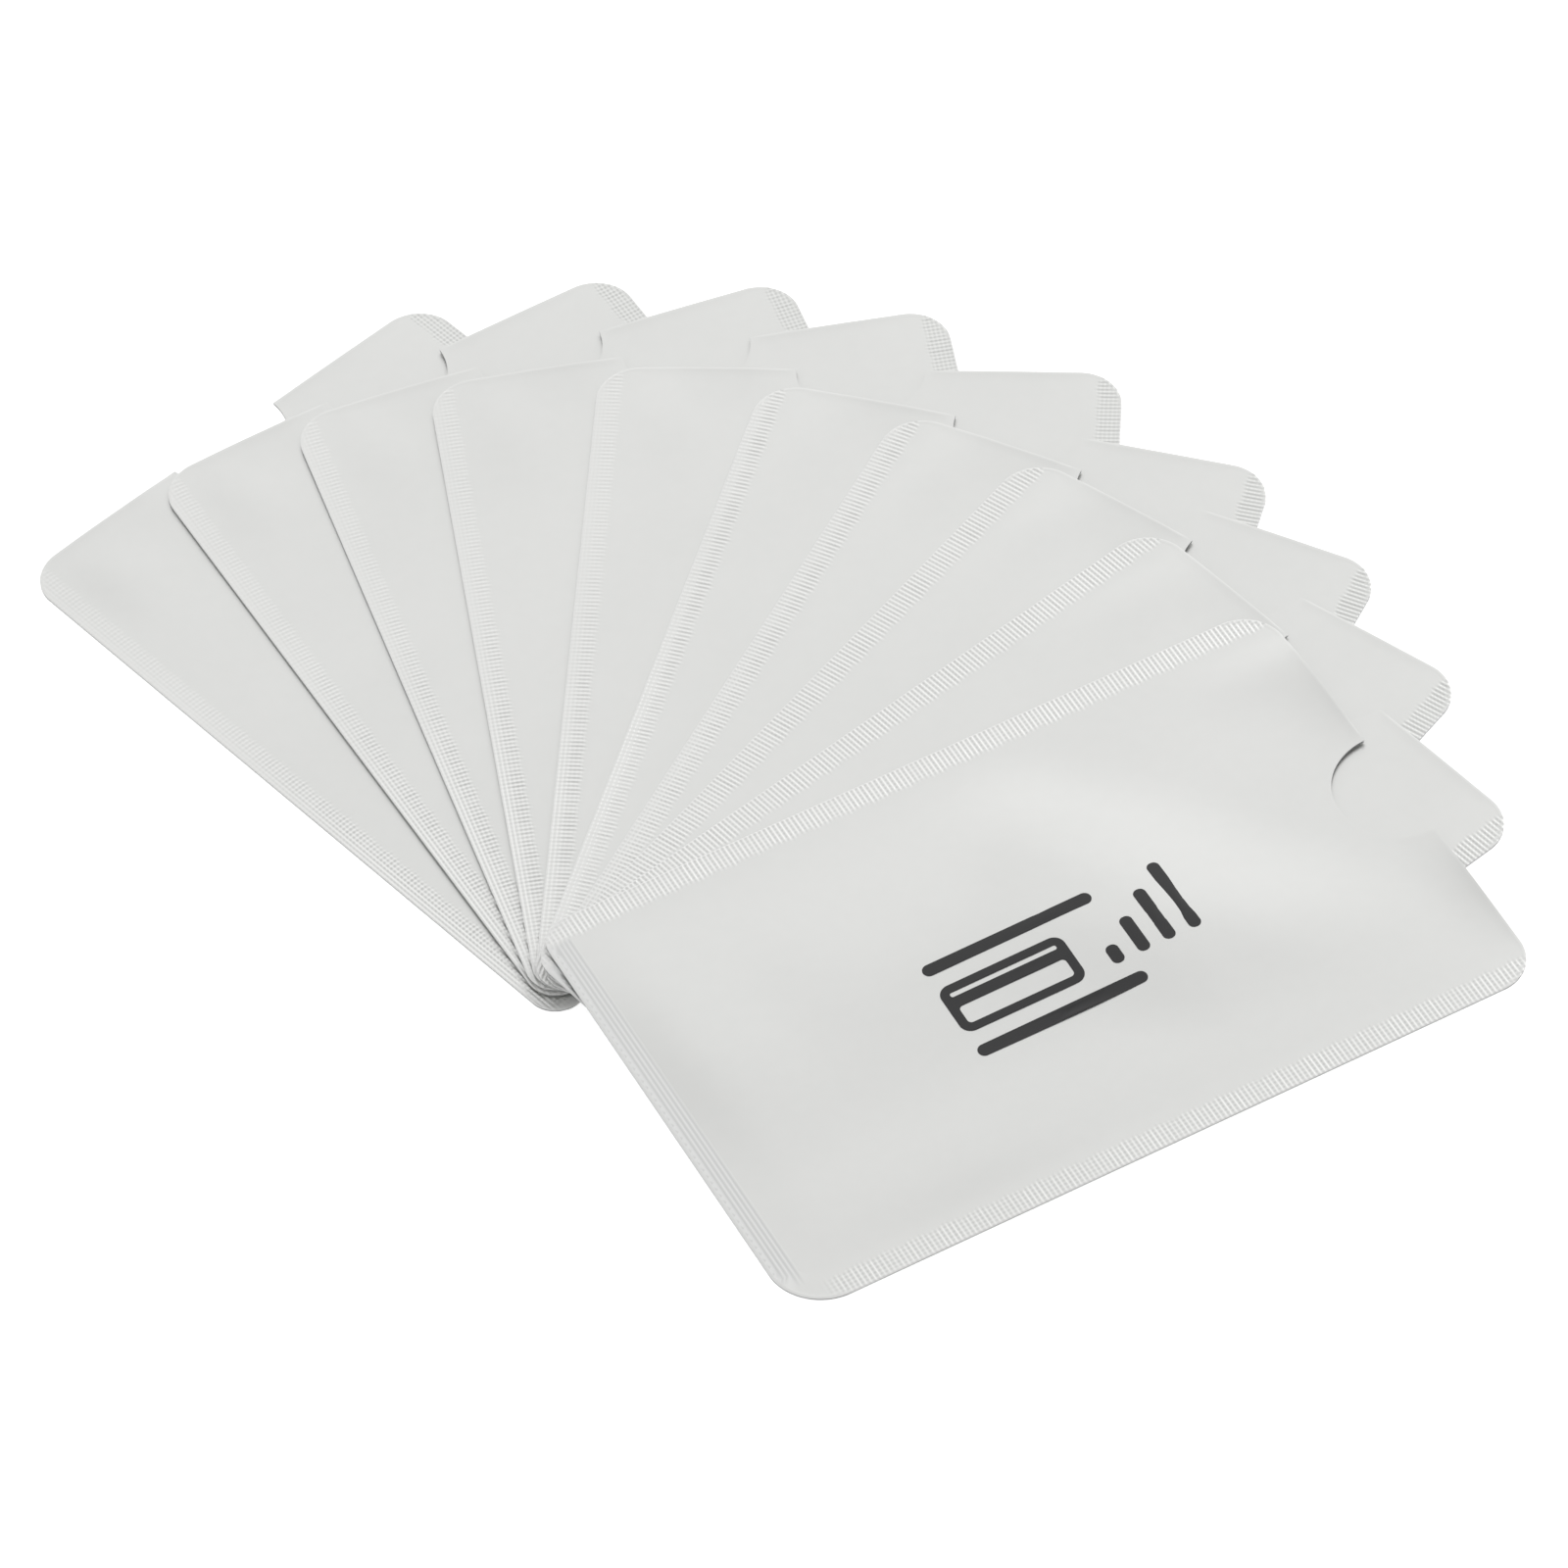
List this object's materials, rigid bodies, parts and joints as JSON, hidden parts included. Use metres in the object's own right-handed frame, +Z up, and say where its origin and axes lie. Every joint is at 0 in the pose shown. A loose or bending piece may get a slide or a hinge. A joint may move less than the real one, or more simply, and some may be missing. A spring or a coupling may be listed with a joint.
{
  "type": "card sleeve fan",
  "caption": "Flat foil-lined card sleeves lying in a fan, each with crimped welded edges, an open mouth and a thumb notch, turning on one another to square up or spread.",
  "frame": {"origin": "centre of the spread fan's footprint, on the surface that it lies on", "axes": "+Z up out of the sleeves' front walls, +Y away from the viewer of the picture, +X to the viewer's right"},
  "size_m": [0.162, 0.154, 0.0053],
  "materials": {
    "film": "matte silver coated film",
    "foil": "bright rolled foil",
    "weld": "melted clear liner"
  },
  "bodies": {
    "sleeve_01": {"sleeve_01_back_film": "film", "sleeve_01_back_foil": "foil", "sleeve_01_heat_seal": "weld", "sleeve_01_front_foil": "foil", "sleeve_01_front_film": "film"},
    "sleeve_02": {"sleeve_02_back_film": "film", "sleeve_02_back_foil": "foil", "sleeve_02_heat_seal": "weld", "sleeve_02_front_foil": "foil", "sleeve_02_front_film": "film"},
    "sleeve_03": {"sleeve_03_back_film": "film", "sleeve_03_back_foil": "foil", "sleeve_03_heat_seal": "weld", "sleeve_03_front_foil": "foil", "sleeve_03_front_film": "film"},
    "sleeve_04": {"sleeve_04_back_film": "film", "sleeve_04_back_foil": "foil", "sleeve_04_heat_seal": "weld", "sleeve_04_front_foil": "foil", "sleeve_04_front_film": "film"},
    "sleeve_05": {"sleeve_05_back_film": "film", "sleeve_05_back_foil": "foil", "sleeve_05_heat_seal": "weld", "sleeve_05_front_foil": "foil", "sleeve_05_front_film": "film"},
    "sleeve_06": {"sleeve_06_back_film": "film", "sleeve_06_back_foil": "foil", "sleeve_06_heat_seal": "weld", "sleeve_06_front_foil": "foil", "sleeve_06_front_film": "film"},
    "sleeve_07": {"sleeve_07_back_film": "film", "sleeve_07_back_foil": "foil", "sleeve_07_heat_seal": "weld", "sleeve_07_front_foil": "foil", "sleeve_07_front_film": "film"},
    "sleeve_08": {"sleeve_08_back_film": "film", "sleeve_08_back_foil": "foil", "sleeve_08_heat_seal": "weld", "sleeve_08_front_foil": "foil", "sleeve_08_front_film": "film"},
    "sleeve_09": {"sleeve_09_back_film": "film", "sleeve_09_back_foil": "foil", "sleeve_09_heat_seal": "weld", "sleeve_09_front_foil": "foil", "sleeve_09_front_film": "film"},
    "sleeve_10": {"sleeve_10_back_film": "film", "sleeve_10_back_foil": "foil", "sleeve_10_heat_seal": "weld", "sleeve_10_front_foil": "foil", "sleeve_10_front_film": "film"}
  },
  "joints": [
    {"name": "sleeve_02_turn", "type": "hinge", "parent": "sleeve_01", "child": "sleeve_02", "pos_m": [-0.01603, -0.02765, 0.0005], "axis": [0, 0, 1], "range_deg": [-7.9, 12.1]},
    {"name": "sleeve_03_turn", "type": "hinge", "parent": "sleeve_02", "child": "sleeve_03", "pos_m": [-0.02278, -0.0265, 0.001], "axis": [0, 0, 1], "range_deg": [-8.7, 11.3]},
    {"name": "sleeve_04_turn", "type": "hinge", "parent": "sleeve_03", "child": "sleeve_04", "pos_m": [-0.02505, -0.03005, 0.0015], "axis": [0, 0, 1], "range_deg": [-9.7, 10.3]},
    {"name": "sleeve_05_turn", "type": "hinge", "parent": "sleeve_04", "child": "sleeve_05", "pos_m": [-0.02367, -0.02865, 0.002], "axis": [0, 0, 1], "range_deg": [-7.3, 12.7]},
    {"name": "sleeve_06_turn", "type": "hinge", "parent": "sleeve_05", "child": "sleeve_06", "pos_m": [-0.02767, -0.02653, 0.0025], "axis": [0, 0, 1], "range_deg": [-7.4, 12.6]},
    {"name": "sleeve_07_turn", "type": "hinge", "parent": "sleeve_06", "child": "sleeve_07", "pos_m": [-0.02665, -0.03261, 0.003], "axis": [0, 0, 1], "range_deg": [-9.8, 10.2]},
    {"name": "sleeve_08_turn", "type": "hinge", "parent": "sleeve_07", "child": "sleeve_08", "pos_m": [-0.02026, -0.02751, 0.0035], "axis": [0, 0, 1], "range_deg": [-9, 11]},
    {"name": "sleeve_09_turn", "type": "hinge", "parent": "sleeve_08", "child": "sleeve_09", "pos_m": [-0.0205, -0.02624, 0.004], "axis": [0, 0, 1], "range_deg": [-8.1, 11.9]},
    {"name": "sleeve_10_turn", "type": "hinge", "parent": "sleeve_09", "child": "sleeve_10", "pos_m": [-0.01398, -0.02924, 0.0045], "axis": [0, 0, 1], "range_deg": [-7.6, 12.4]}
  ]
}
